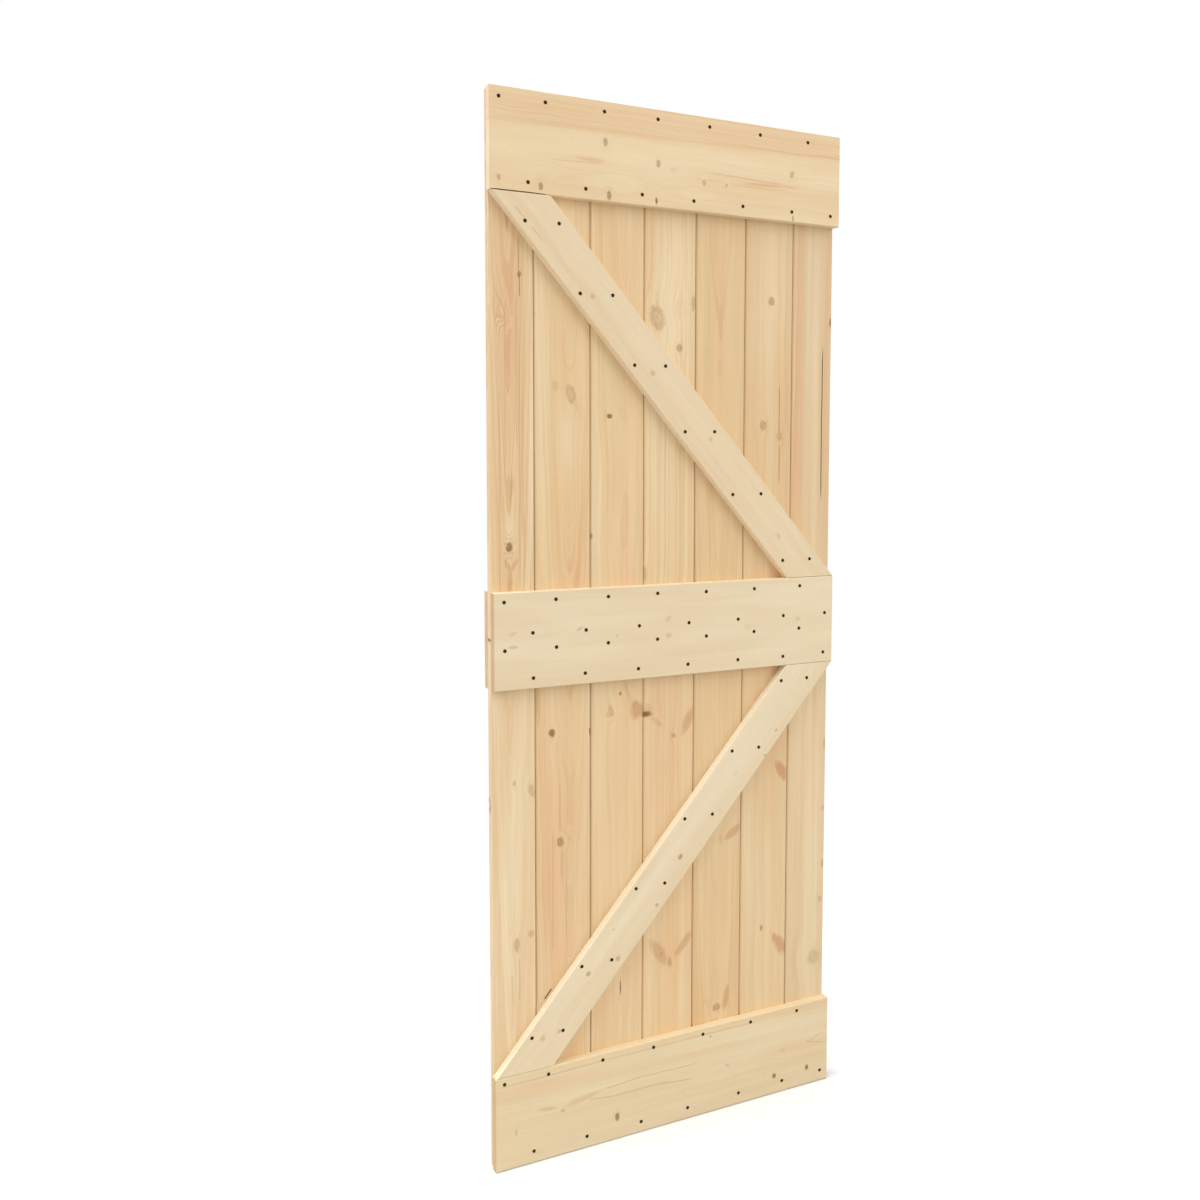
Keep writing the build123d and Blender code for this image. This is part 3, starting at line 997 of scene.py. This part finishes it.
# The braces. Along is down the brace from its left end, across is square to it, upwards.
braceWood = {
    "pale": (0.84, 0.68, 0.46, 1.0),
    "warm": (0.80, 0.62, 0.395, 1.0),
    "lateTint": (0.74, 0.53, 0.30, 1.0),
    # painted light: the braces' side faces lighter
    "paintedSideLighting": (1.14, 1.22, 1.36),
    "contrast": 0.1,
    "streaks": 0.2,
    "clouds": 0.16,
    "wander": 6,
}
braces = {
    "upper_brace": {
        "pith": (50, 60), "ringWidth": 9, "taper": 0.004, "seed": 104.2, "rises": False,
        # painted light: this brace's side faces lighter still
        "tint": (0.91, 0.905, 0.88), "paintedSideLighting": (1.25, 1.31, 1.42),
        "knots": [
            (237, -12, 10, 8, 0, 0.42, 0.3), (433, -8, 10, 9, 0, 0.4, 0.3),
            (622, 6, 10, 8, 0, 0.35, 0.2), (888, -2, 10, 7, 0, 0.3, 0.25),
        ],
        "lines": [(28, -27, 36, 2.4, 2), (77, -25, 36, 2.2, 3)],
    },
    "lower_brace": {
        "pith": (70, -60), "ringWidth": 8, "taper": 0.004, "seed": 111.7, "rises": True,
        "tint": (0.915, 0.94, 0.945),
        "knots": [
            (72, 13, 11, 11, 0, 0.4, 0.15), (100, -10, 7, 6, 0, 0.5, 0.3),
            (223, 11, 10, 9, 0, 0.58, 0.36), (281, -27, 9, 9, 0, 0.55, 0.4),
            (322, 22, 6, 4, 0, 0.4, 0.2), (414, -31, 8, 7, 0, 0.55, 0.4),
            (521, -11, 11, 9, 0, 0.68, 0.45), (732, -5, 16, 9, 0, 0.12, 0.06),
            (804, -41, 5, 5, 0, 0.55, 0.3), (862, -28, 6, 4, 0, 0.7, 0.3),
        ],
    },
}
cutLength = 0.12  # length of a brace's level cut


def braceLine(name, rises):
    # left and right ends of the brace's middle line, and its angle down to the right
    low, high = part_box(name)
    left = Vector((low.x + cutLength / 2, low.y, low.z if rises else high.z))
    right = Vector((high.x - cutLength / 2, low.y, high.z if rises else low.z))
    return left, right, math.atan2(left.z - right.z, right.x - left.x)


for name, timber in braces.items():
    left, right, turn = braceLine(name, timber["rises"])
    finishNode(name, {**braceWood, "start": left, "turn": turn, **timber})
print("braces finished")

# Screws. Sizes are in millimetres. A rail's row has its depth below the rail's top edge, its side
# and each screw's distance from a seam: right of the board's left seam for side 1, and left of
# its right seam for side -1. A brace has its pairs' places along it, and the step along and
# across from there to each screw of a pair.
screws = {
    "head": 6.4,  # across
    "proud": 0.3,
    "sunk": 0.5,
    "recess": 0.25,  # depth of the cross
    "crossArm": 0.36,  # from the middle, as a share of the head
    "crossHalfWidth": 0.12,
    "crossTaper": 0.75,
    "gridSteps": 5,
    "steel": (0.045, 0.028, 0.015, 1.0),
    "wobble": 1.2,  # up or down from the row
    "seed": 4,
    "rows": {
        "top_rail": [
            (20, 1, [16, 18, 22, 20, 19, 21, 21]), (170, -1, [18, 18, 15, 17, 20, 18, 20]),
        ],
        "middle_rail": [
            (18, 1, [21, 37, 31, 23, 18, 17, 14]), (81, -1, [12, 18, 19, 23, 23, 28, 21]),
            (112, 1, [22, 38, 31, 23, 19, 17, 13]), (169, -1, [11, 20, 21, 25, 23, 28, 24]),
        ],
        "bottom_rail": [
            (13, 1, [16, 18, 19, 17, 17, 18, 20]), (167, -1, [14, 17, 12, 20, 12, 18, 17]),
        ],
        "back_middle_rail": [
            (30, 1, [19, 22, 20, 18, 21, 20, 19]), (160, -1, [18, 20, 21, 19, 18, 20, 17]),
        ],
    },
    "pairs": {
        "upper_brace": ((44, 216, 395, 570, 744, 936), [(0, -29), (46, 24)]),
        "lower_brace": ((106, 272, 459, 633, 808, 996), [(0, -16), (-45, 34)]),
    },
}
chance = random.Random(screws["seed"])


def pickFaces(piece, test):
    # in edit mode: selects the faces whose centre passes the test
    bpy.ops.mesh.select_all(action="DESELECT")
    bpy.ops.object.mode_set(mode="OBJECT")
    for polygon in piece.data.polygons:
        polygon.select = test(polygon.center)
    bpy.ops.object.mode_set(mode="EDIT")


def pushDown(depth):
    bpy.ops.mesh.extrude_region_move(TRANSFORM_OT_translate={"value": (0, 0, -depth)})


def makeScrewHead():
    # a head that faces up: a rounded grid with its cross pushed in and its rim turned down
    bpy.ops.object.select_all(action="DESELECT")
    head = screws["head"] * mm
    steps = screws["gridSteps"]
    proud = screws["proud"] * mm
    bpy.ops.mesh.primitive_grid_add(x_subdivisions=steps, y_subdivisions=steps, size=head,
                                    location=(0, 0, proud))
    piece = bpy.context.object
    bpy.ops.object.transform_apply(location=True)
    bpy.ops.object.mode_set(mode="EDIT")
    bpy.ops.mesh.select_mode(type="FACE")
    bpy.ops.mesh.select_all(action="SELECT")
    bpy.ops.mesh.region_to_loop()
    bpy.ops.transform.tosphere(value=1.0)
    bpy.ops.mesh.select_mode(type="EDGE")
    pushDown((screws["proud"] + screws["sunk"]) * mm)
    bpy.ops.mesh.edge_face_add()
    bpy.ops.mesh.select_mode(type="FACE")
    arm = head * screws["crossArm"]
    halfWidth = head * screws["crossHalfWidth"]

    def inCross(centre):
        near, far = sorted((abs(centre.x), abs(centre.y)))
        return centre.z > proud - 1e-6 and far < arm and near < halfWidth

    pickFaces(piece, inCross)
    pushDown(screws["recess"] * mm)
    bpy.ops.transform.resize(value=(screws["crossTaper"], screws["crossTaper"], 1.0))
    bpy.ops.mesh.select_all(action="SELECT")
    bpy.ops.mesh.normals_make_consistent(inside=False)
    bpy.ops.object.mode_set(mode="OBJECT")
    return piece


def placeScrews(name, spots, facesBack=False):
    # copies of the head at the spots, joined into one piece for the timber that they hold
    heads = []
    low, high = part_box(name)
    for x, z in spots:
        head = screwHead.copy()
        head.data = screwHead.data.copy()
        bpy.context.scene.collection.objects.link(head)
        head.location = (x, high.y if facesBack else low.y, z)
        tilt = math.radians(-90 if facesBack else 90)
        head.rotation_euler = (tilt, chance.uniform(0.0, math.pi), 0.0)
        heads.append(head)
    bpy.ops.object.select_all(action="DESELECT")
    for head in heads:
        head.select_set(True)
    bpy.context.view_layer.objects.active = heads[0]
    bpy.ops.object.join()
    bpy.ops.object.transform_apply(location=True, rotation=True, scale=True)
    joined = bpy.context.object
    joined.name = name + "_screws"
    joined.data.materials.clear()
    joined.data.materials.append(screwSteel)
    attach(joined, "root")


def makeScrewSteel():
    material = bpy.data.materials.new("blackScrewSteel")
    material.use_nodes = True
    shader = material.node_tree.nodes["Principled BSDF"]
    shader.inputs["Base Color"].default_value = screws["steel"]
    shader.inputs["Roughness"].default_value = 0.6
    shader.inputs["Specular IOR Level"].default_value = 0.05
    return material


screwHead = makeScrewHead()
screwSteel = makeScrewSteel()
for name, rows in screws["rows"].items():
    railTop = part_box(name)[1].z
    spots = []
    for down, side, offsets in rows:
        seams = boardEdges[:-1] if side > 0 else boardEdges[1:]
        for seam, offset in zip(seams, offsets):
            wobble = chance.uniform(-screws["wobble"], screws["wobble"])
            spots.append((seam + side * offset * mm, railTop - (down + wobble) * mm))
    placeScrews(name, spots, facesBack=name.startswith("back"))
for name, (places, steps) in screws["pairs"].items():
    left, right, turn = braceLine(name, braces[name]["rises"])
    downBrace = (right - left).normalized()
    upward = Vector((-downBrace.z, 0.0, downBrace.x))
    spots = []
    for along in places:
        for step, across in steps:
            spot = left + downBrace * (along + step) * mm + upward * across * mm
            spots.append((spot.x, spot.z))
    placeScrews(name, spots)
bpy.data.objects.remove(screwHead)
print("screws placed")
